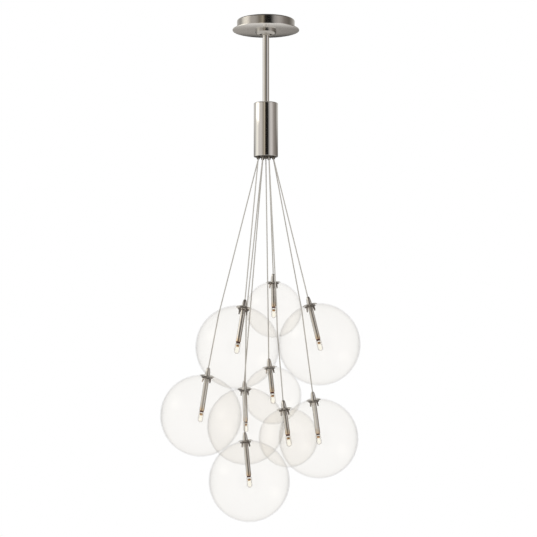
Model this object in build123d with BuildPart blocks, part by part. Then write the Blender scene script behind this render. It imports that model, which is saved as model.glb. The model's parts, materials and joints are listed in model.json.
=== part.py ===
from build123d import *
import os
from math import cos, pi, radians, sin, sqrt

os.makedirs("parts", exist_ok=True)

# A cluster of nine glass globes on cables under one ceiling canopy.
# Millimetres. The origin is the centre of the ceiling face, +Z is up, and the front is -Y.

# ---------------------------------------------------------------- canopy
CANOPY_H = 20.0           # ceiling to the underside of the cover plate
PAN_D = 110.0
PAN_WALL = 1.5
PAN_EDGE_R = 3.0
PAN_HOLE_D = 36.0         # wiring hole in the back of the pan
PLATE_OVERHANG = 8.5      # the plate is this much wider than the pan all round
PLATE_T = 1.0
PLATE_RIM_H = 1.8         # height of the plate's turned-up edge
PLATE_RIM_T = 1.2
LIP_H = 3.0               # locating lip that centres the plate inside the pan
LIP_T = 1.0
SEAT_GAP = 0.1            # between two pieces that rest on each other

BAR_W = 20.0
BAR_T = 2.0
BAR_END = 0.55            # metal left beyond the slots
BOX_SCREW_SPACING = 88.9  # junction box screws
SLOT_W = 5.0
SLOT_L = 10.0
BAR_SCREW_SPACING = 60.0
BAR_SCREW_R = 2.0
BAR_SCREW_HEAD_R = 3.6
BAR_SCREW_HEAD_H = 2.2
SCREW_CLEAR = 0.1

# ---------------------------------------------------------------- swivel
BALL_R = 11.5
BALL_TOP_GAP = 0.5        # ball to the cap above it
SEAT_CLEAR = 0.1          # ball in its seat, and seat in its sleeve
SEAT_WALL = 3.3           # outside the ball's widest part
SEAT_RISE = 0.3           # the seat ends this far above the ball's centre
SLEEVE_WALL = 1.9
SLEEVE_SHORT = 3.0        # the sleeve ends this far above the ball's lowest point
SLEEVE_LIP_T = 1.6
SLEEVE_LIP_GAP = 0.7      # lip to the ball's widest part
STUD_R = 5.0
STUD_TOP = -1.0
WIRE_BORE_R = 3.0
COLLAR_WALL = 2.8
COLLAR_LIP_T = 2.2
COLLAR_EDGE_R = 6.0
THREAD_CLEAR = 0.2

# ---------------------------------------------------------------- stem and hub
STEM_R = 6.35
STEM_WALL = 1.2
STEM_RISE = 5.4           # the stem ends this far above the ball's centre
STEM_FIT = 0.05
STEM_LEAN_SEAT = 3.45     # room for the leaning stem in the seat and in the collar
STEM_LEAN_COLLAR = 5.15
HUB_TOP = -159.7
HUB_H = 102.8
HUB_R = 23.0
HUB_WALL = 1.5
CAP_T = 2.4
CAP_EDGE_R = 1.8
SPIGOT_H = 6.0
SPIGOT_WALL = 1.5
BOSS_WALL = 3.6
BOSS_H = 6.5
BASE_T = 6.0
BASE_INSET = 1.0          # the base sits this far inside the tube's lower edge
HUB_CLEAR = 0.1

# ---------------------------------------------------------------- glands
GLAND_RING_R = 15.7
GLAND_STUD_R = 2.6
GLAND_FLANGE_R = 3.6
GLAND_FLANGE_H = 1.0
GLAND_H = 5.0             # underside of the base to the gland's mouth
GLAND_TIP_R = 2.6
GLAND_MOUTH_R = 2.0
GLAND_MOUTH_DEPTH = 2.0
LEAD_BORE_R = 1.3

# ---------------------------------------------------------------- inside the hub
DRIVER_W = 34.0
DRIVER_D = 22.0
DRIVER_H = 58.0
DRIVER_EDGE_R = 2.0
BLOCK_W = 33.0
BLOCK_D = 14.0
BLOCK_H = 11.0
FOOT_H = 3.0
FOOT_W = 4.0
POLES = 9
POLE_PITCH = 3.5

# ---------------------------------------------------------------- one pendant
CABLE_R = 1.1
CABLE_ENTRY = 1.2         # how far a cable end goes into its mouth
BEND_R = 80.0             # a cable that leans on a globe bends with the globe's own curve
LARGE_R = 76.2
SMALL_R = 54.0
GLASS_T = 1.8
NECK_HOLE_R = 9.5
GRIP_H = 14.2
GRIP_R = 4.8
GRIP_SIDE_R = 4.0
GRIP_TOP_R = 2.1
GRIP_MOUTH_R = 1.6
GRIP_MOUTH_DEPTH = 2.0
GRIP_BAND_H = 1.0
DISC_R = 14.0
DISC_FLAT_R = 9.0
DISC_T = 0.9
DISC_H = 1.9
DISC_EDGE_T = 0.7
CLIP_T = 0.5
CLIP_W = 4.4
CLIP_TURN = 45             # the four legs lie between the sides of the part, in degrees
CLIP_BEND_R = 1.2
CLIP_EYE_RIM = 0.5        # round eye of the clip, held between the disc and the tube
CLIP_ROOM = 0.9           # tube to the leg's first bend
CLIP_HOLE_GAP = 1.1       # leg's middle to the edge of the glass
CLIP_REACH = 0.7          # the foot spreads this far past the edge of the glass
CLIP_KNEE_DROP = 3.4      # down from the disc's underside
CLIP_FOOT_DROP = 12.0
TUBE_R = 4.5
TUBE_BORE_R = 2.5
TUBE_NECK_R = 3.0
TUBE_NECK_H = 6.0
TUBE_LARGE = 65.4         # visible tube in a large globe
TUBE_SMALL = 46.6
PIECE_CLEAR = 0.1

HOLDER_BORE_R = 3.9
HOLDER_BORE_DEPTH = 8.0
LAMPHOLDER_R = 3.8
LAMPHOLDER_H = 3.0        # the part below the tube
PIN_SPACING = 4.0
PIN_R = 0.35
PIN_L = 7.0
PIN_HOLE_R = 0.6
PIN_HOLE_L = 7.6
LAMP_R = 4.8
LAMP_L = 19.5
LAMP_WALL = 0.7
SEAL_H = 5.5
FILAMENT_DROP = 7.0
FILAMENT_R = 0.9
POST_R = 0.3

# ---------------------------------------------------------------- where the pendants hang
# Gland angle in degrees from +X towards +Y (None is the centre gland), then the points that the
# cable passes: where it leans on a neighbour, its grip, and last a point on the globe's axis.
PENDANTS = {
    "a": (LARGE_R, 202.5, [(-38, -76, -538), (-51.5, -98, -625)]),
    "b": (LARGE_R, -22.5, [(78, -36, -530.5), (99, -44, -618)]),
    "c": (LARGE_R, 157.5, [(-88, -33, -564), (-107, -19, -662), (-121, -6, -750)]),
    "d": (LARGE_R, 22.5, [(68, 24, -552), (89, 53, -707), (101, 70, -797)]),
    "e": (LARGE_R, 247.5, [(-37, 9, -560), (-40, 15, -783), (-31, 15, -874)]),
    "f": (SMALL_R, 67.5, [(14, 45, -482), (15, 54, -550)]),
    "g": (SMALL_R, None, [(5.5, -12, -645), (12.5, -14, -713)]),
    "h": (SMALL_R, 292.5, [(20, -58, -549), (21, -68, -593), (31.5, -80, -722), (41, -87, -790)]),
    "i": (LARGE_R, 112.5, [(-42.5, 139, -686.5), (-40, 162, -775.5)]),
}


def save(part, name):
    part.label = name
    export_step(part, f"parts/{name}.step")


# ================================================================ canopy pieces
PLATE_UNDER = -CANOPY_H
PLATE_R = PAN_D / 2 + PLATE_OVERHANG
PAN_H = CANOPY_H - PLATE_T - SEAT_GAP
PAN_R = PAN_D / 2
BAR_L = BOX_SCREW_SPACING + SLOT_L + 2 * BAR_END
BAR_TOP = -PAN_WALL
BAR_UNDER = BAR_TOP - BAR_T
SEAT_R = BALL_R + SEAT_WALL
SLEEVE_BORE_R = SEAT_R + 3 * SEAT_CLEAR
SLEEVE_R = SLEEVE_BORE_R + SLEEVE_WALL
BALL_Z = BAR_UNDER - BAR_T - BALL_TOP_GAP - BALL_R
SLEEVE_BOTTOM = BALL_Z - BALL_R + SLEEVE_SHORT

# Drum pan, open below, with a rounded edge against the ceiling.
with BuildPart() as ceiling_pan:
    with BuildSketch():
        Circle(PAN_R)
    extrude(amount=-PAN_H)
    fillet(ceiling_pan.edges().group_by(Axis.Z)[-1], PAN_EDGE_R)
    with BuildSketch(Plane.XY.offset(-PAN_H)):
        Circle(PAN_R - PAN_WALL)
    extrude(amount=PAN_H - PAN_WALL, mode=Mode.SUBTRACT)
    with BuildSketch():
        Circle(PAN_HOLE_D / 2)
        with GridLocations(BOX_SCREW_SPACING, 0, 2, 1):
            SlotOverall(SLOT_L, SLOT_W)
        with GridLocations(BAR_SCREW_SPACING, 0, 2, 1):
            Circle(BAR_SCREW_R + SCREW_CLEAR)
    extrude(amount=-PAN_WALL, mode=Mode.SUBTRACT)
save(ceiling_pan.part, "ceiling_pan")

# Cross bar under the back of the pan.
with BuildPart() as mounting_bar:
    with BuildSketch(Plane.XY.offset(BAR_TOP)):
        SlotOverall(BAR_L, BAR_W)
        Circle(STUD_R + SCREW_CLEAR, mode=Mode.SUBTRACT)
        with GridLocations(BOX_SCREW_SPACING, 0, 2, 1):
            SlotOverall(SLOT_L, SLOT_W, mode=Mode.SUBTRACT)
        with GridLocations(BAR_SCREW_SPACING, 0, 2, 1):
            Circle(BAR_SCREW_R + SCREW_CLEAR, mode=Mode.SUBTRACT)
    extrude(amount=-BAR_T)
save(mounting_bar.part, "mounting_bar")

# Two pan-head screws, heads under the bar.
with BuildPart() as bar_screws:
    with BuildSketch(Plane.XY.offset(BAR_UNDER)):
        with GridLocations(BAR_SCREW_SPACING, 0, 2, 1):
            Circle(BAR_SCREW_HEAD_R)
    extrude(amount=-BAR_SCREW_HEAD_H)
    chamfer(bar_screws.edges().group_by(Axis.Z)[0], 0.8)
    with BuildSketch(Plane.XY.offset(BAR_UNDER)):
        with GridLocations(BAR_SCREW_SPACING, 0, 2, 1):
            Circle(BAR_SCREW_R)
    extrude(amount=BAR_T + PAN_WALL - SEAT_GAP)
save(bar_screws.part, "bar_screws")

# Thin cover plate with a turned-up edge and a lip that centres it in the pan.
with BuildPart() as cover_plate:
    with BuildSketch(Plane.XY.offset(PLATE_UNDER)):
        Circle(PLATE_R)
    extrude(amount=PLATE_T)
    with BuildSketch(Plane.XY.offset(PLATE_UNDER)):
        Circle(PLATE_R)
        Circle(PLATE_R - PLATE_RIM_T, mode=Mode.SUBTRACT)
    extrude(amount=PLATE_RIM_H)
    fillet(cover_plate.edges().filter_by(GeomType.CIRCLE).group_by(SortBy.RADIUS)[-1], 0.4)
    with BuildSketch(Plane.XY.offset(PLATE_UNDER + PLATE_T)):
        Circle(PAN_R - PAN_WALL - 2 * PIECE_CLEAR)
        Circle(PAN_R - PAN_WALL - 2 * PIECE_CLEAR - LIP_T, mode=Mode.SUBTRACT)
    extrude(amount=LIP_H)
    with BuildSketch(Plane.XY.offset(PLATE_UNDER)):
        Circle(SLEEVE_R + THREAD_CLEAR)
    extrude(amount=PLATE_T, mode=Mode.SUBTRACT)
save(cover_plate.part, "cover_plate")

# Ring nut under the plate, bored larger than the stem so that the stem can lean.
COLLAR_H = PLATE_UNDER - SLEEVE_BOTTOM + THREAD_CLEAR + COLLAR_LIP_T
COLLAR_BOTTOM = PLATE_UNDER - COLLAR_H
with BuildPart() as collar:
    with BuildSketch(Plane.XY.offset(PLATE_UNDER)):
        Circle(SLEEVE_R + THREAD_CLEAR + COLLAR_WALL)
    extrude(amount=-COLLAR_H)
    fillet(collar.edges().group_by(Axis.Z)[0], COLLAR_EDGE_R)
    with BuildSketch(Plane.XY.offset(PLATE_UNDER)):
        Circle(SLEEVE_R + THREAD_CLEAR)
    extrude(amount=-(COLLAR_H - COLLAR_LIP_T), mode=Mode.SUBTRACT)
    with BuildSketch(Plane.XY.offset(COLLAR_BOTTOM)):
        Circle(STEM_R + STEM_LEAN_COLLAR)
    extrude(amount=COLLAR_LIP_T, mode=Mode.SUBTRACT)
save(collar.part, "collar")

# ================================================================ swivel
# Sleeve with an inward lip, and the cap with its stud that closes the sleeve on top.
with BuildPart() as swivel_housing:
    with BuildSketch(Plane.XZ):
        with BuildLine():
            Polyline(
                (SLEEVE_BORE_R, BAR_UNDER),
                (SLEEVE_R, BAR_UNDER),
                (SLEEVE_R, SLEEVE_BOTTOM),
                (BALL_R + SLEEVE_LIP_GAP, SLEEVE_BOTTOM),
                (BALL_R + SLEEVE_LIP_GAP, SLEEVE_BOTTOM + SLEEVE_LIP_T),
                (SLEEVE_BORE_R, SLEEVE_BOTTOM + SLEEVE_LIP_T),
                close=True,
            )
        make_face()
        with BuildLine():
            Polyline(
                (WIRE_BORE_R, STUD_TOP),
                (STUD_R, STUD_TOP),
                (STUD_R, BAR_UNDER),
                (SLEEVE_BORE_R - PIECE_CLEAR, BAR_UNDER),
                (SLEEVE_BORE_R - PIECE_CLEAR, BAR_UNDER - BAR_T),
                (WIRE_BORE_R, BAR_UNDER - BAR_T),
                close=True,
            )
        make_face()
    revolve(axis=Axis.Z)
save(swivel_housing.part, "swivel_housing")

# Seat that carries the ball and turns in the sleeve.
SEAT_BOTTOM = SLEEVE_BOTTOM + SLEEVE_LIP_T + SEAT_GAP
with BuildPart() as seat_ring:
    with BuildSketch(Plane.XY.offset(SEAT_BOTTOM)):
        Circle(SEAT_R)
        Circle(STEM_R + STEM_LEAN_SEAT, mode=Mode.SUBTRACT)
    extrude(amount=BALL_Z + SEAT_RISE - SEAT_BOTTOM)
    with Locations((0, 0, BALL_Z)):
        Sphere(BALL_R + SEAT_CLEAR, mode=Mode.SUBTRACT)
save(seat_ring.part, "seat_ring")

# Ball, bored from below for the stem and through the top for the leads.
STEM_TOP = BALL_Z + STEM_RISE
with BuildPart() as swivel_ball:
    with Locations((0, 0, BALL_Z)):
        Sphere(BALL_R)
    with BuildSketch(Plane.XY.offset(BALL_Z - BALL_R)):
        Circle(STEM_R + STEM_FIT)
    extrude(amount=STEM_TOP + STEM_FIT - (BALL_Z - BALL_R), mode=Mode.SUBTRACT)
    with BuildSketch(Plane.XY.offset(BALL_Z)):
        Circle(WIRE_BORE_R)
    extrude(amount=BALL_R, mode=Mode.SUBTRACT)
save(swivel_ball.part, "swivel_ball")

# ================================================================ stem and hub
BOSS_BOTTOM = HUB_TOP - CAP_T - BOSS_H
HUB_BOTTOM = HUB_TOP - HUB_H
BASE_UNDER = HUB_BOTTOM + BASE_INSET
BASE_TOP = BASE_UNDER + BASE_T
HUB_BORE_R = HUB_R - HUB_WALL

with BuildPart() as stem:
    with BuildSketch(Plane.XY.offset(STEM_TOP)):
        Circle(STEM_R)
        Circle(STEM_R - STEM_WALL, mode=Mode.SUBTRACT)
    extrude(amount=BOSS_BOTTOM - STEM_TOP)
save(stem.part, "stem")

# Top cap: a lid, a spigot in the tube and a threaded boss on the stem.
with BuildPart() as hub_top_cap:
    with BuildSketch(Plane.XY.offset(HUB_TOP)):
        Circle(HUB_R)
    extrude(amount=-CAP_T)
    fillet(hub_top_cap.edges().group_by(Axis.Z)[-1], CAP_EDGE_R)
    with BuildSketch(Plane.XY.offset(HUB_TOP - CAP_T)):
        Circle(HUB_BORE_R - HUB_CLEAR)
        Circle(HUB_BORE_R - HUB_CLEAR - SPIGOT_WALL, mode=Mode.SUBTRACT)
    extrude(amount=-SPIGOT_H)
    with BuildSketch(Plane.XY.offset(HUB_TOP - CAP_T)):
        Circle(STEM_R + STEM_FIT + BOSS_WALL)
    extrude(amount=-BOSS_H)
    with BuildSketch(Plane.XY.offset(HUB_TOP)):
        Circle(STEM_R + STEM_FIT)
    extrude(amount=-(CAP_T + BOSS_H), mode=Mode.SUBTRACT)
save(hub_top_cap.part, "hub_top_cap")

with BuildPart() as hub_tube:
    with BuildSketch(Plane.XY.offset(HUB_TOP - CAP_T - SEAT_GAP)):
        Circle(HUB_R)
        Circle(HUB_BORE_R, mode=Mode.SUBTRACT)
    extrude(amount=HUB_BOTTOM - (HUB_TOP - CAP_T - SEAT_GAP))
    chamfer(hub_tube.edges().group_by(Axis.Z)[0], 0.3)
save(hub_tube.part, "hub_tube")


def gland_point(angle):
    if angle is None:
        return (0.0, 0.0)
    return (GLAND_RING_R * cos(radians(angle)), GLAND_RING_R * sin(radians(angle)))


gland_points = [gland_point(angle) for _, angle, _ in PENDANTS.values()]

# Thick base with nine tapped holes.
with BuildPart() as hub_base:
    with BuildSketch(Plane.XY.offset(BASE_UNDER)):
        Circle(HUB_BORE_R - HUB_CLEAR)
        with Locations(*gland_points):
            Circle(GLAND_STUD_R + STEM_FIT, mode=Mode.SUBTRACT)
    extrude(amount=BASE_T)
save(hub_base.part, "hub_base")

# One cone gland, its mouth wide enough for the cable to swing.
MOUTH_Z = BASE_UNDER - GLAND_H
with BuildPart() as one_gland:
    with BuildSketch(Plane.XZ):
        with BuildLine():
            Polyline(
                (LEAD_BORE_R, BASE_TOP - SEAT_GAP),
                (GLAND_STUD_R, BASE_TOP - SEAT_GAP),
                (GLAND_STUD_R, BASE_UNDER),
                (GLAND_FLANGE_R, BASE_UNDER),
                (GLAND_FLANGE_R, BASE_UNDER - GLAND_FLANGE_H),
                (GLAND_TIP_R, MOUTH_Z),
                (GLAND_MOUTH_R, MOUTH_Z),
                (GLAND_MOUTH_R, MOUTH_Z + GLAND_MOUTH_DEPTH),
                (LEAD_BORE_R, MOUTH_Z + GLAND_MOUTH_DEPTH),
                close=True,
            )
        make_face()
    revolve(axis=Axis.Z)

with BuildPart() as cable_glands:
    with Locations(*[(x, y, 0) for x, y in gland_points]):
        add(one_gland.part)
save(cable_glands.part, "cable_glands")

# Low-voltage driver under the boss.
with BuildPart() as transformer:
    with BuildSketch(Plane.XY.offset(BOSS_BOTTOM - 2 * SEAT_GAP)):
        RectangleRounded(DRIVER_W, DRIVER_D, DRIVER_EDGE_R)
    extrude(amount=-DRIVER_H)
    with BuildSketch(Plane.XY.offset(BOSS_BOTTOM - 2 * SEAT_GAP - DRIVER_H)):
        Rectangle(DRIVER_W - 8, DRIVER_D - 8)
    extrude(amount=1.5, mode=Mode.SUBTRACT)
save(transformer.part, "transformer")

# Terminal block on two feet, with a screw well and a lead hole for each pole.
with BuildPart() as terminal_block:
    with BuildSketch(Plane.XY.offset(BASE_TOP)):
        with GridLocations(BLOCK_W - FOOT_W, 0, 2, 1):
            Rectangle(FOOT_W, BLOCK_D)
    extrude(amount=FOOT_H)
    with BuildSketch(Plane.XY.offset(BASE_TOP + FOOT_H)):
        Rectangle(BLOCK_W, BLOCK_D)
    extrude(amount=BLOCK_H)
    with BuildSketch(Plane.XY.offset(BASE_TOP + FOOT_H + BLOCK_H)):
        with GridLocations(POLE_PITCH, 0, POLES, 1):
            Rectangle(2.4, 3.0)
    extrude(amount=-3.0, mode=Mode.SUBTRACT)
    with BuildSketch(Plane.XZ.offset(BLOCK_D / 2)):
        with Locations((0, BASE_TOP + FOOT_H + BLOCK_H / 3)):
            with GridLocations(POLE_PITCH, 0, POLES, 1):
                Rectangle(2.4, 2.4)
    extrude(amount=-4.0, mode=Mode.SUBTRACT)
save(terminal_block.part, "terminal_block")

# ================================================================ pendant pieces
# Each is built hanging straight down from the grip's mouth at the origin, then leaned into place.
DISC_TOP = -GRIP_H
DISC_UNDER = DISC_TOP - DISC_T
RIM_Z = DISC_TOP - DISC_H
SHOULDER_Z = DISC_UNDER - CLIP_T


def globe_drop(radius):
    """Grip's mouth to the globe's centre, with the disc's rim resting on the glass."""
    rim_middle = DISC_R - DISC_EDGE_T / 2
    return GRIP_H + DISC_H + SEAT_GAP + sqrt(radius**2 - rim_middle**2)


def tube_length(radius):
    return TUBE_LARGE if radius == LARGE_R else TUBE_SMALL


def make_globe(radius):
    """Thin blown globe with a round hole at the top."""
    inner = radius - GLASS_T
    with BuildPart() as globe:
        with BuildSketch(Plane.XZ):
            with BuildLine():
                outer_top = (NECK_HOLE_R, sqrt(radius**2 - NECK_HOLE_R**2))
                inner_top = (NECK_HOLE_R, sqrt(inner**2 - NECK_HOLE_R**2))
                ThreePointArc(outer_top, (radius, 0), (0, -radius))
                Line((0, -radius), (0, -inner))
                ThreePointArc((0, -inner), (inner, 0), inner_top)
                Line(inner_top, outer_top)
            make_face()
        revolve(axis=Axis.Z)
    return Pos(0, 0, -globe_drop(radius)) * globe.part


def make_grip():
    """Bullet-shaped cable grip."""
    with BuildPart() as grip:
        with BuildSketch(Plane.XZ):
            with BuildLine():
                band = (GRIP_R, DISC_TOP + GRIP_BAND_H)
                ThreePointArc(band, (GRIP_SIDE_R, -GRIP_H * 0.4), (GRIP_TOP_R, 0))
                Polyline(
                    (GRIP_TOP_R, 0),
                    (GRIP_MOUTH_R, 0),
                    (GRIP_MOUTH_R, -GRIP_MOUTH_DEPTH),
                    (LEAD_BORE_R, -GRIP_MOUTH_DEPTH),
                    (LEAD_BORE_R, DISC_TOP + TUBE_NECK_H),
                    (TUBE_NECK_R + STEM_FIT, DISC_TOP + TUBE_NECK_H),
                    (TUBE_NECK_R + STEM_FIT, DISC_TOP),
                    (GRIP_R, DISC_TOP),
                    band,
                )
            make_face()
        revolve(axis=Axis.Z)
    return grip.part


def make_disc():
    """Thin cap disc, its edge turned down on the glass."""
    with BuildPart() as disc:
        with BuildSketch(Plane.XZ):
            with BuildLine():
                edge_in = DISC_R - DISC_EDGE_T
                crown = (DISC_FLAT_R + edge_in) / 2
                Line((TUBE_NECK_R + STEM_FIT, DISC_TOP), (DISC_FLAT_R, DISC_TOP))
                ThreePointArc((DISC_FLAT_R, DISC_TOP), (crown + 0.9, DISC_TOP - 0.5), (DISC_R, RIM_Z))
                Line((DISC_R, RIM_Z), (edge_in, RIM_Z))
                ThreePointArc((edge_in, RIM_Z), (crown, DISC_UNDER - 0.25), (DISC_FLAT_R, DISC_UNDER))
                Line((DISC_FLAT_R, DISC_UNDER), (TUBE_NECK_R + STEM_FIT, DISC_UNDER))
                Line((TUBE_NECK_R + STEM_FIT, DISC_UNDER), (TUBE_NECK_R + STEM_FIT, DISC_TOP))
            make_face()
        revolve(axis=Axis.Z)
    return disc.part


def make_clip():
    """Four-leg spring of flat strip that holds the glass up against the disc."""
    legs = [
        (NECK_HOLE_R + CLIP_REACH, CLIP_FOOT_DROP),
        (NECK_HOLE_R - CLIP_HOLE_GAP, CLIP_KNEE_DROP),
        (TUBE_R + CLIP_ROOM, CLIP_T / 2),
    ]
    left = [(-x, DISC_UNDER - drop) for x, drop in legs]
    right = [(x, DISC_UNDER - drop) for x, drop in reversed(legs)]
    with BuildPart() as clip:
        for turn in (CLIP_TURN, CLIP_TURN + 90):
            with BuildSketch(Plane.XZ.rotated((0, 0, turn))):
                with BuildLine():
                    FilletPolyline(*left, *right, radius=CLIP_BEND_R)
                trace(line_width=CLIP_T)
            extrude(amount=CLIP_W / 2, both=True)
        with BuildSketch(Plane.XY.offset(DISC_UNDER)):
            Circle(TUBE_R + CLIP_EYE_RIM)
        extrude(amount=-CLIP_T)
        with BuildSketch(Plane.XY.offset(DISC_UNDER)):
            Circle(TUBE_NECK_R + STEM_FIT)
        extrude(amount=-2 * CLIP_T, mode=Mode.SUBTRACT)
    return clip.part


def make_tube(length):
    """Tube with a threaded neck above and a bore for the lampholder below."""
    end = SHOULDER_Z - length
    with BuildPart() as tube:
        with BuildSketch(Plane.XZ):
            with BuildLine():
                Polyline(
                    (TUBE_BORE_R, DISC_TOP + TUBE_NECK_H - SEAT_GAP),
                    (TUBE_NECK_R, DISC_TOP + TUBE_NECK_H - SEAT_GAP),
                    (TUBE_NECK_R, SHOULDER_Z),
                    (TUBE_R, SHOULDER_Z),
                    (TUBE_R, end),
                    (HOLDER_BORE_R, end),
                    (HOLDER_BORE_R, end + HOLDER_BORE_DEPTH),
                    (TUBE_BORE_R, end + HOLDER_BORE_DEPTH),
                    close=True,
                )
            make_face()
        revolve(axis=Axis.Z)
    return tube.part


def make_lampholder(length):
    """Round two-pin lampholder in the tube's end."""
    bottom = SHOULDER_Z - length - LAMPHOLDER_H
    with BuildPart() as lampholder:
        with BuildSketch(Plane.XY.offset(bottom)):
            Circle(LAMPHOLDER_R)
        extrude(amount=LAMPHOLDER_H + HOLDER_BORE_DEPTH - SEAT_GAP)
        with BuildSketch(Plane.XY.offset(bottom)):
            with GridLocations(PIN_SPACING, 0, 2, 1):
                Circle(PIN_HOLE_R)
        extrude(amount=PIN_HOLE_L, mode=Mode.SUBTRACT)
    return lampholder.part


def make_lamp(length):
    """Capsule lamp: glass envelope with a solid seal, filament on two posts, two pins."""
    top = SHOULDER_Z - length - LAMPHOLDER_H - SEAT_GAP
    bottom = top - LAMP_L
    bore_r = LAMP_R - LAMP_WALL
    seal = top - SEAL_H
    with BuildPart() as envelope:
        with BuildSketch(Plane.XZ):
            with BuildLine():
                ball_z = bottom + LAMP_R
                Polyline((0, seal), (0, top), (LAMP_R, top), (LAMP_R, ball_z))
                RadiusArc((LAMP_R, ball_z), (0, bottom), LAMP_R)
                Line((0, bottom), (0, bottom + LAMP_WALL))
                RadiusArc((0, bottom + LAMP_WALL), (bore_r, ball_z), -bore_r)
                Polyline((bore_r, ball_z), (bore_r, seal), (0, seal))
            make_face()
        revolve(axis=Axis.Z)
    with BuildPart() as filament:
        with BuildSketch(Plane.XY.offset(seal)):
            with GridLocations(PIN_SPACING, 0, 2, 1):
                Circle(POST_R)
        extrude(amount=-FILAMENT_DROP)
        with BuildSketch(Plane.YZ.offset(-PIN_SPACING / 2)):
            with Locations((0, seal - FILAMENT_DROP)):
                Circle(FILAMENT_R)
        extrude(amount=PIN_SPACING)
    with BuildPart() as pins:
        with BuildSketch(Plane.XY.offset(top)):
            with GridLocations(PIN_SPACING, 0, 2, 1):
                Circle(PIN_R)
        extrude(amount=PIN_L)
    return Compound(children=[envelope.part, filament.part, *pins.solids()])


def make_cable(points):
    """Taut cable through the given points, bent only where it leans on a neighbour."""
    with BuildPart() as cable:
        with BuildLine() as route:
            if len(points) == 2:
                Line(*points)
            else:
                FilletPolyline(*points, radius=BEND_R)
        with BuildSketch(Plane(origin=route.line @ 0, z_dir=route.line % 0)):
            Circle(CABLE_R)
        sweep()
    length = sum(edge.length for edge in route.edges())
    ratio = cable.part.volume / (pi * CABLE_R**2 * length)
    print(f"cable {length:.1f} mm, bends of {BEND_R} mm, volume over section x length {ratio:.4f}")
    return cable.part


globes = {radius: make_globe(radius) for radius in (LARGE_R, SMALL_R)}
grip, disc, clip = make_grip(), make_disc(), make_clip()
tubes = {radius: make_tube(tube_length(radius)) for radius in (LARGE_R, SMALL_R)}
lampholders = {radius: make_lampholder(tube_length(radius)) for radius in (LARGE_R, SMALL_R)}
lamps = {radius: make_lamp(tube_length(radius)) for radius in (LARGE_R, SMALL_R)}

for letter, (radius, angle, stops) in PENDANTS.items():
    mouth = Vector(*gland_point(angle), MOUTH_Z)
    stops = [Vector(*stop) for stop in stops]
    tip = stops[-2]
    up = (tip - stops[-1]).normalized()
    place = Plane(origin=tip, x_dir=Vector(0, 1, 0).cross(up), z_dir=up).location
    top_run = (mouth - stops[0]).normalized()
    low_run = (tip - ([mouth] + stops)[-3]).normalized()
    start = mouth + top_run * CABLE_ENTRY
    end = tip + low_run * CABLE_ENTRY
    holder = Compound(children=[place * piece for piece in (grip, disc, clip, tubes[radius])])
    save(make_cable([start, *stops[:-2], end]), f"cable_{letter}")
    save(holder, f"holder_{letter}")
    save(place * globes[radius], f"globe_{letter}")
    save(place * lampholders[radius], f"socket_{letter}")
    save(place * lamps[radius], f"lamp_{letter}")
    centre = tip - up * globe_drop(radius)
    print(letter, "mouth", tuple(round(v, 2) for v in mouth), "globe", tuple(round(v, 1) for v in centre))
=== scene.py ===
import bpy
import bmesh
import json
import math
from mathutils import Matrix, Vector


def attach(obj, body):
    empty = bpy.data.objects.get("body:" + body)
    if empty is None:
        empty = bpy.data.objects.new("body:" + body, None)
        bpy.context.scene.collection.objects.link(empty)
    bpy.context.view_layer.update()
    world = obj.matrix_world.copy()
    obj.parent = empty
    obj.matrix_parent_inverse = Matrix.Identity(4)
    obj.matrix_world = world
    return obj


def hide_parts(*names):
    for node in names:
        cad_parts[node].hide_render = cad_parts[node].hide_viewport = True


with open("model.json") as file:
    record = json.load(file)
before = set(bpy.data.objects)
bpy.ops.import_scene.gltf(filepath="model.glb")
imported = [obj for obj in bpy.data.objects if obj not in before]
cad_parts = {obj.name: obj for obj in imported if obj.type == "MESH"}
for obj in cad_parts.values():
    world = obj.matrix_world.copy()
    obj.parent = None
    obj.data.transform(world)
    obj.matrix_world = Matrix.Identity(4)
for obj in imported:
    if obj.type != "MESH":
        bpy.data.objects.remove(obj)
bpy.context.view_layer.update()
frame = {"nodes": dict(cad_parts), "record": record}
nodes = frame["nodes"]
scene = bpy.context.scene
MM = 0.001


# ================================================================ camera
# The photograph is 537 pixels square. The canopy's 127 mm plate sets the distance.
PHOTO_PX = 537
FOCAL_PX = 1590
SENSOR = 36.0              # mm
CAMERA_AT = Vector((0.005, -2.991, -0.694))
CAMERA_PITCH = math.radians(4.19)

camera_data = bpy.data.cameras.new("camera")
camera_data.sensor_width = SENSOR
camera_data.lens = SENSOR * FOCAL_PX / PHOTO_PX
camera_data.clip_start = 0.05
camera_data.clip_end = 100
camera = bpy.data.objects.new("camera", camera_data)
camera.location = CAMERA_AT
camera.rotation_euler = (math.pi / 2 + CAMERA_PITCH, 0, 0)
scene.collection.objects.link(camera)
scene.camera = camera

scene.view_settings.view_transform = "Standard"
scene.cycles.max_bounces = 24
scene.cycles.transparent_max_bounces = 64
scene.cycles.transmission_bounces = 16
scene.cycles.glossy_bounces = 10


# ================================================================ node helpers
def srgb(r, g, b):
    """A colour written as 0 to 255 screen values."""
    out = []
    for value in (r, g, b):
        c = value / 255
        out.append(c / 12.92 if c <= 0.04045 else ((c + 0.055) / 1.055) ** 2.4)
    return (*out, 1.0)


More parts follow.
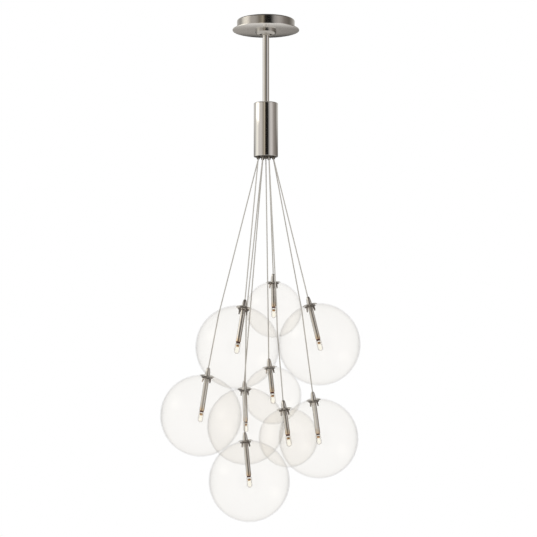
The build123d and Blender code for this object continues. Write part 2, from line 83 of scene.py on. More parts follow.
class Tree:
    """Small helper round a node tree."""

    def __init__(self, tree):
        self.tree = tree

    def add(self, kind, inputs=None, **settings):
        node = self.tree.nodes.new("ShaderNode" + kind)
        for name, value in settings.items():
            setattr(node, name, value)
        for key, value in (inputs or {}).items():
            socket = node.inputs[key]
            if isinstance(value, bpy.types.NodeSocket):
                self.tree.links.new(value, socket)
            else:
                socket.default_value = value
        return node

    def link(self, source, target):
        self.tree.links.new(source, target)

    def ramp(self, factor, stops):
        """Colour ramp of (position, colour) stops, linear between them."""
        node = self.tree.nodes.new("ShaderNodeValToRGB")
        elements = node.color_ramp.elements
        while len(elements) > 1:
            elements.remove(elements[-1])
        elements[0].position, elements[0].color = stops[0]
        for position, color in stops[1:]:
            elements.new(position).color = color
        self.tree.links.new(factor, node.inputs["Fac"])
        return node.outputs["Color"]

    def math(self, operation, a, b):
        return self.add("Math", {0: a, 1: b}, operation=operation).outputs[0]

    def mix(self, share, first, second):
        """The first colour where the share is 0, the second where it is 1."""
        return self.add("Mix", {0: share, 6: first, 7: second}, data_type="RGBA").outputs[2]

    def span(self, value, start, end, **to):
        """0 at the start, 1 at the end, and held there beyond both, unless other ends are given."""
        limits = {"To Min": to.get("low", 0.0), "To Max": to.get("high", 1.0)}
        node = self.add("MapRange", {"Value": value, "From Min": start, "From Max": end, **limits})
        return node.outputs["Result"]


def grey(level):
    return (level, level, level, 1.0)


def dimmed(color, share):
    return (*(c * share for c in color[:3]), 1.0)


def material(name):
    """A material with one Principled shader, and the helper round its nodes."""
    mat = bpy.data.materials.new(name)
    mat.use_nodes = True
    return mat, Tree(mat.node_tree), mat.node_tree.nodes["Principled BSDF"]


def object_noise(t, scale, detail, stretch=(1, 1, 1)):
    coords = t.add("TexCoord").outputs["Object"]
    mapped = t.add("Mapping", {"Vector": coords, "Scale": stretch}).outputs["Vector"]
    return t.add("TexNoise", {"Vector": mapped, "Scale": scale, "Detail": detail}).outputs["Fac"]


def add_bump(t, shader, height, strength, distance):
    bumped = t.add("Bump", {"Height": height, "Strength": strength, "Distance": distance})
    t.link(bumped.outputs["Normal"], shader.inputs["Normal"])


SMUDGE_SCALE = 35
SMUDGE_DIM = 0.96          # how much darker a smudge is
METAL_GRAIN = 0.0002       # m, depth of the fine surface
PLASTIC_GRAIN = 0.0003


def metal(name, color, rough_low, rough_high, bump=0.02, bump_scale=900, stretch=(1, 1, 1)):
    """Metal with faint smudges in its gloss and a fine surface."""
    mat, t, shader = material(name)
    shader.inputs["Metallic"].default_value = 1.0
    smudge = object_noise(t, SMUDGE_SCALE, 4)
    t.link(t.ramp(smudge, [(0.3, dimmed(color, SMUDGE_DIM)), (0.7, color)]), shader.inputs["Base Color"])
    t.link(t.span(smudge, 0.3, 0.7, low=rough_low, high=rough_high), shader.inputs["Roughness"])
    add_bump(t, shader, object_noise(t, bump_scale, 2, stretch), bump, METAL_GRAIN)
    return mat


# ================================================================ materials
NICKEL = (0.93, 0.915, 0.89, 1)
ROUND_BRUSH = (0.05, 0.05, 1)      # the grain of a part that was brushed while it turned
CHROME = metal("polished_nickel", NICKEL, 0.03, 0.06, bump=0.0)
BRUSHED = metal("brushed_nickel", NICKEL, 0.07, 0.11, bump=0.01, bump_scale=1200, stretch=ROUND_BRUSH)
SATIN = metal("satin_nickel", NICKEL, 0.10, 0.15, bump=0.02, bump_scale=1600)
CANOPY = metal("canopy_nickel", (0.58, 0.56, 0.53, 1), 0.13, 0.19, bump=0.03, bump_scale=1200,
               stretch=ROUND_BRUSH)
# The glands' dark base colour is partly a darker metal and partly painted shade from the hub and the cables
# round them.
GLAND = metal("dark_nickel_and_painted_shade", (0.15, 0.135, 0.12, 1), 0.14, 0.22)
ZINC = metal("zinc_plate", (0.66, 0.66, 0.65, 1), 0.28, 0.42, bump=0.1, bump_scale=700)
SPRING = metal("spring_steel", (0.34, 0.31, 0.29, 1), 0.16, 0.26, bump=0.05, bump_scale=900)


def plastic(name, color, second, rough, bump=0.08, scale=500):
    """Plastic or ceramic, clouded between two tones."""
    mat, t, shader = material(name)
    cloud = object_noise(t, scale, 3)
    t.link(t.ramp(cloud, [(0.35, second), (0.65, color)]), shader.inputs["Base Color"])
    shader.inputs["Roughness"].default_value = rough
    add_bump(t, shader, cloud, bump, PLASTIC_GRAIN)
    return mat


BLACK_NYLON = plastic("black_nylon", srgb(30, 30, 30), srgb(22, 22, 23), 0.5)
DRIVER_CASE = plastic("driver_case", srgb(48, 48, 50), srgb(40, 40, 42), 0.55)
WHITE_PLASTIC = plastic("white_plastic", srgb(225, 225, 220), srgb(214, 214, 208), 0.45)
LAMPHOLDER = plastic("lampholder", srgb(92, 50, 40), srgb(62, 34, 28), 0.4)
SHEATH = plastic("cable_sheath", srgb(186, 182, 175), srgb(168, 164, 157), 0.42, bump=0.15, scale=1800)


MIRROR_POWER = 5.0         # how late towards the edge the glass turns to a mirror


def clear_glass(name, tints, mirror_low, mirror_high):
    """Thin blown glass: it lets the background straight through, tints more where it is seen edge on,
    and mirrors its surroundings more and more towards the edge, the same from both sides."""
    mat, t, shader = material(name)
    t.tree.nodes.remove(shader)
    out = t.tree.nodes["Material Output"]
    facing = t.add("LayerWeight", {"Blend": 0.5}).outputs["Facing"]
    tint = t.ramp(facing, [(position, (*color, 1)) for position, color in tints])
    through = t.add("BsdfTransparent", {"Color": tint})
    edge = t.math("POWER", facing, MIRROR_POWER)
    share = t.math("ADD", t.math("MULTIPLY", edge, mirror_high - mirror_low), mirror_low)
    mirror = t.add("BsdfGlossy", {"Color": grey(1.0), "Roughness": 0.0})
    mixed = t.add("MixShader", {0: share, 1: through.outputs[0], 2: mirror.outputs[0]})
    t.link(mixed.outputs[0], out.inputs["Surface"])
    return mat


GLOBE_TINTS = [(0.0, (0.998, 0.9945, 0.989)), (0.55, (0.995, 0.9915, 0.985)),
               (0.85, (0.978, 0.9745, 0.969)), (1.0, (0.90, 0.90, 0.905))]
NECK_TINTS = [(0.0, (0.66, 0.64, 0.62)), (0.6, (0.50, 0.48, 0.47)), (1.0, (0.30, 0.29, 0.29))]
LAMP_TINTS = [(0.0, (0.985, 0.975, 0.95)), (0.4, (0.94, 0.925, 0.90)),
              (0.8, (0.70, 0.68, 0.65)), (1.0, (0.30, 0.29, 0.27))]
GLOBE_GLASS = clear_glass("globe_glass", GLOBE_TINTS, 0.018, 0.16)
NECK_GLASS = clear_glass("neck_glass", NECK_TINTS, 0.06, 0.5)
LAMP_GLASS = clear_glass("lamp_glass", LAMP_TINTS, 0.04, 0.5)


def glow(name, color, strength):
    """A glowing body with slightly darker patches."""
    mat, t, shader = material(name)
    patches = object_noise(t, 260, 2)
    t.link(t.ramp(patches, [(0.3, dimmed(color, 0.97)), (0.6, color)]), shader.inputs["Emission Color"])
    shader.inputs["Base Color"].default_value = grey(0.02)
    shader.inputs["Emission Strength"].default_value = strength
    shader.inputs["Roughness"].default_value = 0.6
    return mat


FILAMENT_GLOW = glow("filament_glow", (1.0, 0.98, 0.88, 1), 1.03)
AMBER = metal("amber_foil", (0.78, 0.50, 0.27, 1), 0.2, 0.35)


# The lamp's reflection near the lower end of each tube is painted into the base colour in this orange tone.
PAINTED_LAMP_REFLECTION = (0.98, 0.72, 0.44, 1)
PAINTED_REFLECTION_SHARE = 0.8           # at the tube's end
PAINTED_REFLECTION_FALL = 1.6            # how fast it fades up the tube


def metal_with_painted_lamp_reflection():
    """Polished tube with a painted reflection of the lamp: an orange tone mixed into its base colour towards
    its lower end.
    """
    mat = metal("tube_nickel_painted_reflection", (0.90, 0.885, 0.86, 1), 0.03, 0.06, bump=0.0)
    t = Tree(mat.node_tree)
    shader = mat.node_tree.nodes["Principled BSDF"]
    plain = shader.inputs["Base Color"].links[0].from_socket
    # painted reflection of the lamp, mixed into the base colour by the share each point carries
    near = t.add("Attribute", attribute_name="lamp_reflection_share").outputs["Fac"]
    share = t.math("MULTIPLY", t.math("POWER", near, PAINTED_REFLECTION_FALL), PAINTED_REFLECTION_SHARE)
    t.link(t.mix(share, plain, PAINTED_LAMP_REFLECTION), shader.inputs["Base Color"])
    return mat


TUBE = metal_with_painted_lamp_reflection()


def put(obj, mat):
    """Every slot of the object gets the material."""
    if not obj.data.materials:
        obj.data.materials.append(mat)
    for i in range(len(obj.data.materials)):
        obj.data.materials[i] = mat


SLOT_MATERIAL = {
    "polished_metal": CHROME, "satin_metal": SATIN, "zinc_steel": ZINC, "black_nylon": BLACK_NYLON,
    "driver_case": DRIVER_CASE, "white_plastic": WHITE_PLASTIC, "dark_ceramic": LAMPHOLDER,
    "clear_glass": GLOBE_GLASS, "lamp_glass": LAMP_GLASS, "cable_sheath": SHEATH,
}
for entry in frame["record"]["subparts"]:
    put(nodes[entry["node"]], SLOT_MATERIAL[entry["material_slot"]])
put(nodes["ceiling_pan"], CANOPY)


# ================================================================ mesh helpers
def rounded(points, radii, steps):
    """Profile with an arc in place of each corner, one radius per point. 0 keeps the corner sharp."""
    points = [Vector(p) for p in points]
    out = []
    for i, (p, r) in enumerate(zip(points, radii)):
        if r == 0:
            out.append(p)
            continue
        a = (points[i - 1] - p).normalized()
        b = (points[i + 1] - p).normalized()
        half = math.acos(max(-1, min(1, a.dot(b)))) / 2
        reach = r / math.tan(half)
        centre = p + (a + b).normalized() * (r / math.sin(half))
        start, end = p + a * reach - centre, p + b * reach - centre
        turn = start.angle(end)
        for k in range(steps + 1):     # equal steps along the arc
            w0, w1 = math.sin((1 - k / steps) * turn), math.sin(k / steps * turn)
            out.append(centre + (start * w0 + end * w1) / math.sin(turn))
    return [(p.x, p.y) for p in out]


def finish_mesh(name, bm, matrix, mat, body, replaces=(), sharp=32):
    """Object of the mesh, moved by the matrix, with its material, slot and body."""
    bmesh.ops.remove_doubles(bm, verts=bm.verts, dist=1e-7)
    bmesh.ops.recalc_face_normals(bm, faces=bm.faces)
    mesh = bpy.data.meshes.new(name)
    bm.to_mesh(mesh)
    bm.free()
    mesh.transform(matrix)
    for poly in mesh.polygons:
        poly.use_smooth = True
    mesh.set_sharp_from_angle(angle=math.radians(sharp))
    obj = bpy.data.objects.new(name, mesh)
    scene.collection.objects.link(obj)
    put(obj, mat)
    if replaces:
        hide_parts(*replaces)
    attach(obj, body)
    return obj


def lathe(bm, profile, segments=96, closed=True):
    """Turns a profile of (radius, height) in millimetres about the local Z axis."""
    rings = []
    for r, z in profile:
        if r < 1e-6:
            rings.append([bm.verts.new((0, 0, z * MM))])
            continue
        ring = []
        for k in range(segments):
            a = 2 * math.pi * k / segments
            ring.append(bm.verts.new((r * MM * math.cos(a), r * MM * math.sin(a), z * MM)))
        rings.append(ring)
    pairs = list(zip(rings, rings[1:]))
    if closed:
        pairs.append((rings[-1], rings[0]))
    for low, high in pairs:
        if len(low) == 1 and len(high) == 1:
            continue
        for k in range(segments):
            n = (k + 1) % segments
            if len(low) == 1:
                bm.faces.new((low[0], high[k], high[n]))
            elif len(high) == 1:
                bm.faces.new((low[k], high[0], low[n]))
            else:
                bm.faces.new((low[k], high[k], high[n], low[n]))


def turned(name, profile, mat, body, replaces=(), matrix=None, segments=96, closed=True):
    """Object turned from a profile of (radius, height) in millimetres."""
    bm = bmesh.new()
    lathe(bm, profile, segments, closed)
    return finish_mesh(name, bm, matrix or Matrix.Identity(4), mat, body, replaces)


# ================================================================ pendants
# All sizes are in millimetres. A pendant's own frame has the grip's mouth at its origin and its
# axis along Z, with the globe below.
LARGE_R = 76.2
SMALL_R = 54.0
GLASS_T = 1.8
NECK_HOLE_R = 9.5
GRIP_H = 14.2
DISC_R = 14.0
DISC_H = 1.9
DISC_T = 0.9
CLIP_T = 0.5
CLIP_W = 4.4
CLIP_TURN = 45             # degrees
CLIP_BEND_R = 1.2
CLIP_TIP = 0.55            # width at a leg's tip, as a share
TUBE_LARGE = 65.4
TUBE_SMALL = 46.6
LAMPHOLDER_H = 3.0
LAMP_L = 19.5
LAMP_R = 4.8
TUBE_R = 4.5
PIN_R = 0.35
PIN_X = 2.0
LAMPHOLDER_GAP = 0.1       # between the lampholder and the lamp
GLOBE_SHRINK = 0.04        # keeps the finer mesh of a globe inside the part's box
DISC_SEAT_R = DISC_R - 0.35        # where the disc's curved edge sits on the globe
DISC_SEAT_GAP = 0.1
GLOBE_STEPS = 72
PAINTED_REFLECTION_REACH = 14.0          # how far up the tube the painted reflection of the lamp reaches
GLAND_RING_R = 15.7
MOUTH_Z = -266.5
CABLE_R = 1.1
CABLE_ENTRY = 1.2
EDGE_RUN = 13.0            # six cable diameters

PENDANTS = {
    "a": (LARGE_R, 202.5, [(-38, -76, -538), (-51.5, -98, -625)]),
    "b": (LARGE_R, -22.5, [(78, -36, -530.5), (99, -44, -618)]),
    "c": (LARGE_R, 157.5, [(-88, -33, -564), (-107, -19, -662), (-121, -6, -750)]),
    "d": (LARGE_R, 22.5, [(68, 24, -552), (89, 53, -707), (101, 70, -797)]),
    "e": (LARGE_R, 247.5, [(-37, 9, -560), (-40, 15, -783), (-31, 15, -874)]),
    "f": (SMALL_R, 67.5, [(14, 45, -482), (15, 54, -550)]),
    "g": (SMALL_R, None, [(5.5, -12, -645), (12.5, -14, -713)]),
    "h": (SMALL_R, 292.5, [(20, -58, -549), (21, -68, -593), (31.5, -80, -722), (41, -87, -790)]),
    "i": (LARGE_R, 112.5, [(-42.5, 139, -686.5), (-40, 162, -775.5)]),
}

DISC_TOP = -GRIP_H
DISC_UNDER = DISC_TOP - DISC_T
SHOULDER_Z = DISC_UNDER - CLIP_T


def globe_drop(radius):
    """How far a globe's centre is below the grip's mouth."""
    return GRIP_H + DISC_H + DISC_SEAT_GAP + math.sqrt(radius**2 - DISC_SEAT_R**2)


def tube_end(radius):
    return SHOULDER_Z - (TUBE_LARGE if radius == LARGE_R else TUBE_SMALL)


def on_ring(angle):
    """Where a gland stands under the hub. An angle of None is the centre gland."""
    if angle is None:
        return Vector((0, 0, MOUTH_Z))
    a = math.radians(angle)
    return Vector((GLAND_RING_R * math.cos(a), GLAND_RING_R * math.sin(a), MOUTH_Z))


def hanging(tip, aim):
    """Matrix from the pendant's own frame, grip's mouth at the origin, to the row frame."""
    up = (Vector(tip) - Vector(aim)).normalized()
    x = Vector((0, 1, 0)).cross(up).normalized()
    y = up.cross(x)
    matrix = Matrix((x, y, up)).transposed().to_4x4()
    matrix.translation = Vector(tip) * MM
    return matrix


def globe_profile(radius):
    """Outer sphere from the neck hole down, and inner sphere from the bottom up."""
    drop = globe_drop(radius)

    def arc(r):
        top = math.asin(NECK_HOLE_R / r)
        angles = [top + (math.pi - top) * k / GLOBE_STEPS for k in range(GLOBE_STEPS)]
        return [*((r * math.sin(a), r * math.cos(a) - drop) for a in angles), (0, -r - drop)]

    return arc(radius - GLOBE_SHRINK), arc(radius - GLASS_T)[::-1]


def make_globe(letter, radius, matrix, body):
    """Globe, its lip round the neck hole, and the bead of melted glass under the lip."""
    bm = bmesh.new()
    outer, inside = globe_profile(radius)
    lip = [(NECK_HOLE_R - 0.25, (outer[0][1] + inside[-1][1]) / 2)]
    lathe(bm, outer, 128, closed=False)
    lathe(bm, inside, 128, closed=False)
    lathe(bm, [inside[-1], *lip, outer[0]], 128, closed=False)
    low = inside[-1][1]
    bead = rounded([(10.4, low - 0.3), (9.35, low + 0.2), (9.35, low - 2.4), (10.4, low - 2.0),
                    (10.4, low - 0.3)], [0, 0.35, 0.35, 0.35, 0], 3)
    turned(f"neck_edge_{letter}", bead, NECK_GLASS, body, (), matrix, closed=False)
    finish_mesh(f"glass_globe_{letter}", bm, matrix, GLOBE_GLASS, body,
                [f"globe_{letter}"], sharp=60)


def make_grip(letter, matrix, body):
    """Bullet-shaped cable grip. It stands for the whole holder, with the disc, clip and tube."""
    side = [(4.65, DISC_TOP), (4.8, DISC_TOP + 0.15), (4.8, DISC_TOP + 1.0), (4.68, DISC_TOP + 2.6),
            (4.38, -8.5), (4.0, -5.68), (3.45, -2.8), (2.9, -1.1), (2.45, -0.3), (2.1, 0)]
    mouth = [(1.6, 0), (1.6, -2.0), (1.3, -2.0), (1.3, -8.0), (3.0, -8.0), (3.0, DISC_TOP)]
    turned(f"cable_grip_{letter}", side + mouth, CHROME, body, [f"holder_{letter}"],
           matrix, 64)


def make_disc(letter, matrix, body):
    """Cap disc, domed towards its edge, that closes the neck hole."""
    top = [(3.05, DISC_TOP), (9.0, DISC_TOP), (11.2, DISC_TOP - 0.28), (12.8, DISC_TOP - 0.85),
           (13.7, DISC_TOP - 1.4), (13.98, DISC_TOP - 1.65), (14.0, DISC_TOP - 1.8), (13.85, DISC_TOP - 1.9)]
    under = [(13.3, DISC_TOP - 1.9), (12.6, DISC_UNDER - 0.55), (11.0, DISC_UNDER - 0.2),
             (9.0, DISC_UNDER), (3.05, DISC_UNDER)]
    turned(f"cap_disc_{letter}", top + under, CHROME, body, (), matrix)


def make_clip(letter, matrix, body):
    """Two flat strips that cross at the eye, bent into four splayed legs."""
    half_w, half_t = CLIP_W / 2, CLIP_T / 2
    leg = [(5.4, DISC_UNDER - half_t), (8.4, DISC_UNDER - 3.4), (10.2, DISC_UNDER - 12.0)]
    line = rounded([*((-x, z) for x, z in leg[::-1]), *leg],
                   [0, CLIP_BEND_R, CLIP_BEND_R, CLIP_BEND_R, CLIP_BEND_R, 0], 4)
    bm = bmesh.new()
    for turn in (CLIP_TURN, CLIP_TURN + 90):
        c, s = math.cos(math.radians(turn)), math.sin(math.radians(turn))
        rows = []
        for i, p in enumerate(line):
            ahead = Vector(line[min(i + 1, len(line) - 1)]) - Vector(line[max(i - 1, 0)])
            n = Vector((-ahead.y, ahead.x)).normalized() * half_t
            w = half_w * (CLIP_TIP if i in (0, len(line) - 1) else 1.0)
            row = []
            for across, side in ((-w, -1), (w, -1), (w, 1), (-w, 1)):
                q = Vector(p) + n * side
                row.append(bm.verts.new(((q.x * c - across * s) * MM, (q.x * s + across * c) * MM, q.y * MM)))
            rows.append(row)
        for a, b in zip(rows, rows[1:]):
            for k in range(4):
                n = (k + 1) % 4
                bm.faces.new((a[k], b[k], b[n], a[n]))
        bm.faces.new(rows[0])
        bm.faces.new(rows[-1])
    finish_mesh(f"spring_clip_{letter}", bm, matrix, SPRING, body)


def make_tube(letter, radius, matrix, body):
    """Tube, with rows of points near its end that carry how much of the painted lamp reflection its colour
    gets there.
    """
    end = tube_end(radius)
    profile = [(2.5, SHOULDER_Z), (4.3, SHOULDER_Z), (TUBE_R, SHOULDER_Z - 0.2), (TUBE_R, end + PAINTED_REFLECTION_REACH),
               (TUBE_R, end + 7), (TUBE_R, end + 3), (TUBE_R, end + 0.3), (4.3, end), (3.9, end),
               (3.9, end + 8), (2.5, end + 8)]
    obj = turned(f"lamp_tube_{letter}", profile, TUBE, body, (), matrix, 64)
    # each point's share of the painted lamp reflection: 1 at the tube's end, 0 from the reach upwards
    lamp_reflection_share = obj.data.attributes.new("lamp_reflection_share", "FLOAT", "POINT")
    back = matrix.inverted()
    for vertex, value in zip(obj.data.vertices, lamp_reflection_share.data):
        height = (back @ vertex.co).z / MM - end
        value.value = max(0.0, min(1.0, 1 - height / PAINTED_REFLECTION_REACH))


def make_lampholder(letter, radius, matrix, body):
    end = tube_end(radius)
    low = end - LAMPHOLDER_H
    profile = [(0, end + 6), (3.8, end + 6), (3.8, low + 0.3), (3.5, low), (0, low)]
    turned(f"lampholder_{letter}", profile, LAMPHOLDER, body,
           [f"socket_{letter}"], matrix, 48, closed=False)


def make_lamp(letter, radius, matrix, body):
    """Envelope, foil seal, glowing core and pins."""
    top = tube_end(radius) - LAMPHOLDER_H - LAMPHOLDER_GAP
    low = top - LAMP_L
    angles = [math.pi / 2 * k / 12 for k in range(12)]
    dome = [(LAMP_R * math.cos(a), low + LAMP_R - LAMP_R * math.sin(a)) for a in angles]
    envelope = [(0, top), (LAMP_R - 0.6, top), (LAMP_R, top - 0.6), *dome, (0, low)]
    turned(f"lamp_envelope_{letter}", envelope, LAMP_GLASS, body,
           [f"lamp_{letter}"], matrix, 48, closed=False)
    # radius and depth below the lamp's top
    seal = [(0, 2.4), (2.3, 2.6), (2.9, 3.4), (3.0, 5.2), (2.4, 6.4), (0, 6.6)]
    core = [(0, 6.9), (1.4, 7.1), (2.4, 8.8), (2.7, 13.5), (2.0, 16.4), (0, 17.4)]
    for name, shape, mat in (("lamp_seal", seal, AMBER), ("lamp_filament", core, FILAMENT_GLOW)):
        turned(f"{name}_{letter}", [(r, top - depth) for r, depth in shape], mat, body, (),
               matrix, 32, closed=False)
    bm = bmesh.new()
    for side in (-PIN_X, PIN_X):
        start = len(bm.verts)
        lathe(bm, [(0, top + 7), (PIN_R, top + 6.8), (PIN_R, top - 2.9), (0, top - 2.9)], 16, False)
        bm.verts.ensure_lookup_table()
        for v in bm.verts[start:]:
            v.co.x += side * MM
    finish_mesh(f"lamp_pins_{letter}", bm, matrix, ZINC, body)


def make_cable(letter, angle, stops, body):
    """Taut cable: the route's points, with one more close to the start and to each side of a lean."""
    mouth = on_ring(angle)
    *leans, tip = [Vector(p) for p in stops[:-1]]
    route = [mouth, *leans, tip]
    start = mouth + (mouth - route[1]).normalized() * CABLE_ENTRY
    end = tip + (tip - route[-2]).normalized() * CABLE_ENTRY
    corners = [start, *leans, end]
    points = [start, start + (corners[1] - start).normalized() * EDGE_RUN]
    for before, lean, after in zip(corners, corners[1:], corners[2:]):
        points += [lean + (before - lean).normalized() * EDGE_RUN, lean,
                   lean + (after - lean).normalized() * EDGE_RUN]
    points.append(end)
    curve = bpy.data.curves.new(f"supply_cable_{letter}", "CURVE")
    curve.dimensions = "3D"
    curve.bevel_depth = CABLE_R * MM
    curve.bevel_resolution = 5
    curve.resolution_u = 16
    curve.use_fill_caps = True
    spline = curve.splines.new("NURBS")
    spline.points.add(len(points) - 1)
    for target, p in zip(spline.points, points):
        target.co = (*(p * MM), 1)
    spline.order_u = 3
    spline.use_endpoint_u = True
    obj = bpy.data.objects.new(f"supply_cable_{letter}", curve)
    scene.collection.objects.link(obj)
    put(obj, SHEATH)
    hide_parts(f"cable_{letter}")
    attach(obj, body)


for letter, (radius, angle, stops) in PENDANTS.items():
    body, lamp_body = f"pendant_{letter}", f"lamp_body_{letter}"
    place = hanging(stops[-2], stops[-1])
    make_cable(letter, angle, stops, body)
    make_globe(letter, radius, place, body)
    make_grip(letter, place, body)
    make_disc(letter, place, body)
    make_clip(letter, place, body)
    make_tube(letter, radius, place, body)
    make_lampholder(letter, radius, place, body)
    make_lamp(letter, radius, place, lamp_body)


# ================================================================ stem and hub
STEM_R = 6.35
STEM_BORE_R = 5.15
STEM_TOP = -12.1
STEM_END = -168.6
HUB_R = 23.0
HUB_BORE_R = 21.5
HUB_TOP = -159.7
HUB_BOTTOM = -262.5
CAP_T = 2.4
CAP_EDGE_R = 1.8
CAP_BOSS_R = 19.9          # the cap's part inside the shell
CAP_HOLE_R = STEM_R + 0.05
SHELL_TOP = HUB_TOP - CAP_T - 0.1
GLAND_BASE_Z = -261.5

stem_wall = [(STEM_BORE_R, STEM_TOP), (STEM_R, STEM_TOP), (STEM_R, STEM_END), (STEM_BORE_R, STEM_END)]
turned("stem_tube", stem_wall, CHROME, "stem", ["stem"])
cap = rounded([(CAP_HOLE_R, HUB_TOP), (HUB_R, HUB_TOP), (HUB_R, HUB_TOP - CAP_T),
               (CAP_BOSS_R, HUB_TOP - CAP_T)], [0, CAP_EDGE_R, 0.1, 0], 8)
boss = [(CAP_BOSS_R, HUB_TOP - 8.4), (10.0, HUB_TOP - 8.9), (CAP_HOLE_R, HUB_TOP - 8.9)]
turned("hub_lid", cap + boss, BRUSHED, "stem", ["hub_top_cap"], segments=160)
shell = rounded([(HUB_BORE_R, SHELL_TOP), (HUB_R, SHELL_TOP), (HUB_R, HUB_BOTTOM), (HUB_BORE_R, HUB_BOTTOM)],
                [0, 0.1, 0.4, 0], 3)
turned("hub_shell", shell, BRUSHED, "stem", ["hub_tube"], segments=160)

GLAND_PROFILE = [(1.3, GLAND_BASE_Z), (3.6, GLAND_BASE_Z), (3.6, GLAND_BASE_Z - 0.8),
                 (3.4, GLAND_BASE_Z - 1.0), (3.3, GLAND_BASE_Z - 1.6), (2.75, MOUTH_Z + 0.4),
                 (2.5, MOUTH_Z), (2.0, MOUTH_Z), (2.0, MOUTH_Z + 2.0), (1.3, MOUTH_Z + 2.0)]
for letter, (_, angle, _) in PENDANTS.items():
    spot = on_ring(angle)
    place = Matrix.Translation((spot.x * MM, spot.y * MM, 0))
    # the first one stands for the node of all nine
    turned(f"gland_{letter}", GLAND_PROFILE, GLAND, "stem",
           ["cable_glands"] if letter == "a" else (), place, 48)


# ================================================================ canopy
COVER_Z = -20.0            # underside of the cover plate
COVER_R = 63.5
COVER_HOLE_R = 17.2
COLLAR_R = 20.0
COLLAR_EDGE_R = 6.0
COLLAR_BOTTOM = -28.4
COLLAR_FLOOR = -26.2       # of the hollow inside

plate = rounded([(COVER_HOLE_R, COVER_Z), (COVER_R, COVER_Z), (COVER_R, -18.2), (62.3, -18.2), (62.3, -19.0),
                 (53.3, -19.0), (53.3, -16.0), (52.3, -16.0), (52.3, -19.0), (COVER_HOLE_R, -19.0)],
                [0, 0.4, 0.3, 0.3, 0.2, 0, 0, 0, 0, 0], 4)
turned("cover_disc", plate, SATIN, "cover", ["cover_plate"], segments=192)
ring = rounded([(COVER_HOLE_R, COVER_Z), (COLLAR_R, COVER_Z), (COLLAR_R, COLLAR_BOTTOM),
                (11.5, COLLAR_BOTTOM), (11.5, COLLAR_FLOOR), (COVER_HOLE_R, COLLAR_FLOOR)],
               [0, 0.2, COLLAR_EDGE_R, 0.4, 0, 0], 12)
turned("ring_nut", ring, CANOPY, "cover", ["collar"], segments=128)


# ================================================================ world, lights and floor
AMBIENT = 0.80             # the room as diffuse surfaces see it


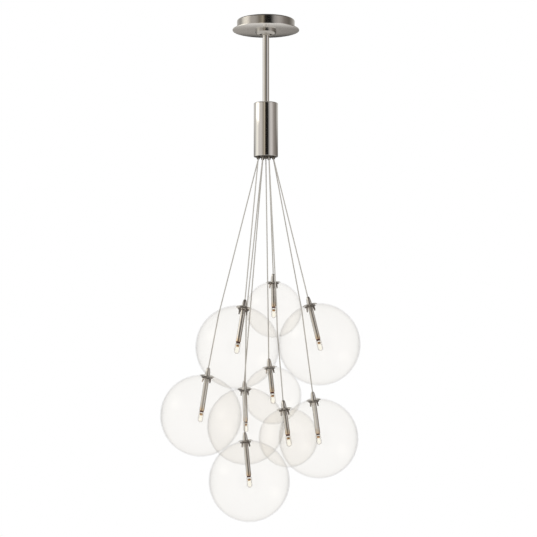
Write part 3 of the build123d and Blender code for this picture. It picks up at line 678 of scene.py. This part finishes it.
def studio_world():
    """White to the camera and through glass, a soft grey room to diffuse light, and to polished metal a
    studio with a softbox on the left, a narrow dark gap at the camera and a wall that darkens to the right.
    The ring's angles are degrees from the camera, + to the right of the picture."""
    world = bpy.data.worlds.new("studio")
    world.use_nodes = True
    scene.world = world
    t = Tree(world.node_tree)
    background = world.node_tree.nodes["Background"]
    direction = t.add("TexCoord").outputs["Generated"]
    split = t.add("SeparateXYZ", {"Vector": direction})
    front = t.math("MULTIPLY", split.outputs["Y"], -1.0)
    angle = t.math("ARCTAN2", split.outputs["X"], front)
    turn = t.math("ADD", t.math("DIVIDE", angle, 2 * math.pi), 0.5)

    def at(degrees):
        return degrees / 360 + 0.5

    ring = t.ramp(turn, [
        (at(-180), grey(0.04)),
        (at(-155), grey(0.08)),
        (at(-137), (0.30, 0.29, 0.28, 1)),
        (at(-118), (0.46, 0.45, 0.43, 1)),
        (at(-101), (0.84, 0.82, 0.76, 1)),
        (at(-86), (0.93, 0.90, 0.83, 1)),
        (at(-73), (0.66, 0.63, 0.60, 1)),
        (at(-62), (0.56, 0.53, 0.50, 1)),
        (at(-50), (0.60, 0.57, 0.54, 1)),
        (at(-38), (0.50, 0.47, 0.44, 1)),
        (at(-25), (0.27, 0.24, 0.20, 1)),
        (at(-18), (0.36, 0.32, 0.26, 1)),
        (at(-12), (0.52, 0.47, 0.38, 1)),
        (at(-7), (0.20, 0.16, 0.12, 1)),
        (at(-3), (0.012, 0.010, 0.008, 1)),
        (at(20), (0.008, 0.008, 0.008, 1)),
        (at(27), (0.20, 0.195, 0.19, 1)),
        (at(35), (0.46, 0.44, 0.43, 1)),
        (at(52), (0.62, 0.59, 0.57, 1)),
        (at(66), (0.50, 0.47, 0.45, 1)),
        (at(78), (0.32, 0.29, 0.27, 1)),
        (at(104), (0.20, 0.18, 0.16, 1)),
        (at(145), (0.11, 0.10, 0.09, 1)),
        (at(180), grey(0.04)),
    ])
    height = split.outputs["Z"]
    # the softbox on the left is brighter high up, where only the canopy sees it
    beside = t.ramp(turn, [(at(-116), grey(0)), (at(-92), grey(1)), (at(-78), grey(1)), (at(-62), grey(0))])
    room = t.mix(t.math("MULTIPLY", t.span(height, 0.214, 0.236), beside), ring, (1.7, 1.62, 1.47, 1))
    # a light wall behind the object above the horizon, and a darker sweep below it
    behind = t.span(split.outputs["Y"], 0.3, 0.85)
    wall = t.math("MULTIPLY", behind, t.span(height, 0.06, 0.20))
    room = t.mix(wall, room, (0.62, 0.60, 0.57, 1))
    sweep = t.math("MULTIPLY", behind, t.span(height, -0.05, -0.16))
    across = t.span(split.outputs["X"], -0.06, 0.06)
    sweep_tone = t.mix(across, (0.34, 0.32, 0.295, 1), (0.23, 0.215, 0.20, 1))
    room = t.mix(sweep, room, sweep_tone)
    # dark ceiling, light floor
    room = t.mix(t.span(height, 0.42, 0.75), room, (0.10, 0.09, 0.08, 1))
    room = t.mix(t.span(height, -0.27, -0.42), room, (0.74, 0.72, 0.69, 1))
    path = t.add("LightPath")
    ambient = t.mix(path.outputs["Is Glossy Ray"], grey(AMBIENT), room)
    see = t.math("MAXIMUM", path.outputs["Is Camera Ray"], path.outputs["Is Transmission Ray"])
    t.link(t.mix(see, ambient, grey(1.0)), background.inputs["Color"])
    background.inputs["Strength"].default_value = 1.0


studio_world()


def softbox(name, location, target, size, power):
    """Round area light aimed at a point. Metal doesn't see it, only the world's studio."""
    light = bpy.data.lights.new(name, "AREA")
    light.shape = "DISK"
    light.size = size
    light.energy = power
    obj = bpy.data.objects.new(name, light)
    obj.location = location
    obj.rotation_euler = (Vector(target) - Vector(location)).to_track_quat("-Z", "Y").to_euler()
    obj.visible_glossy = False
    scene.collection.objects.link(obj)


OBJECT_MIDDLE = (0, 0, -0.6)
softbox("key_softbox", (-2.2, -2.4, 0.9), OBJECT_MIDDLE, 1.6, 36)
softbox("fill_softbox", (2.4, -2.0, 0.2), OBJECT_MIDDLE, 1.8, 16)

# The floor keeps the object's shadow and turns to plain white towards its rim.
FLOOR_Z = -1.62
FLOOR_R = 3.0
FADE_FROM = 0.5
FADE_TO = 2.6
WHITE_AT_MIDDLE = 0.45     # share of plain white under the object
bm = bmesh.new()
bmesh.ops.create_circle(bm, cap_ends=True, segments=96, radius=FLOOR_R)
mesh = bpy.data.meshes.new("floor")
bm.to_mesh(mesh)
bm.free()
floor = bpy.data.objects.new("floor", mesh)
floor.location = (0, 0, FLOOR_Z)
scene.collection.objects.link(floor)
floor.visible_glossy = False
floor_mat, t, shader = material("pale_floor")
shader.inputs["Base Color"].default_value = grey(0.86)
shader.inputs["Roughness"].default_value = 0.9
out = floor_mat.node_tree.nodes["Material Output"]
reach = t.add("VectorMath", {0: t.add("TexCoord").outputs["Object"]}, operation="LENGTH").outputs["Value"]
fade = t.span(reach, FADE_FROM, FADE_TO, low=WHITE_AT_MIDDLE)
white = t.add("Emission", {"Color": grey(1.0), "Strength": 1.0})
seen = t.math("MULTIPLY", fade, t.add("LightPath").outputs["Is Camera Ray"])
floor_mix = t.add("MixShader", {0: seen, 1: shader.outputs[0], 2: white.outputs[0]})
t.link(floor_mix.outputs[0], out.inputs["Surface"])
put(floor, floor_mat)
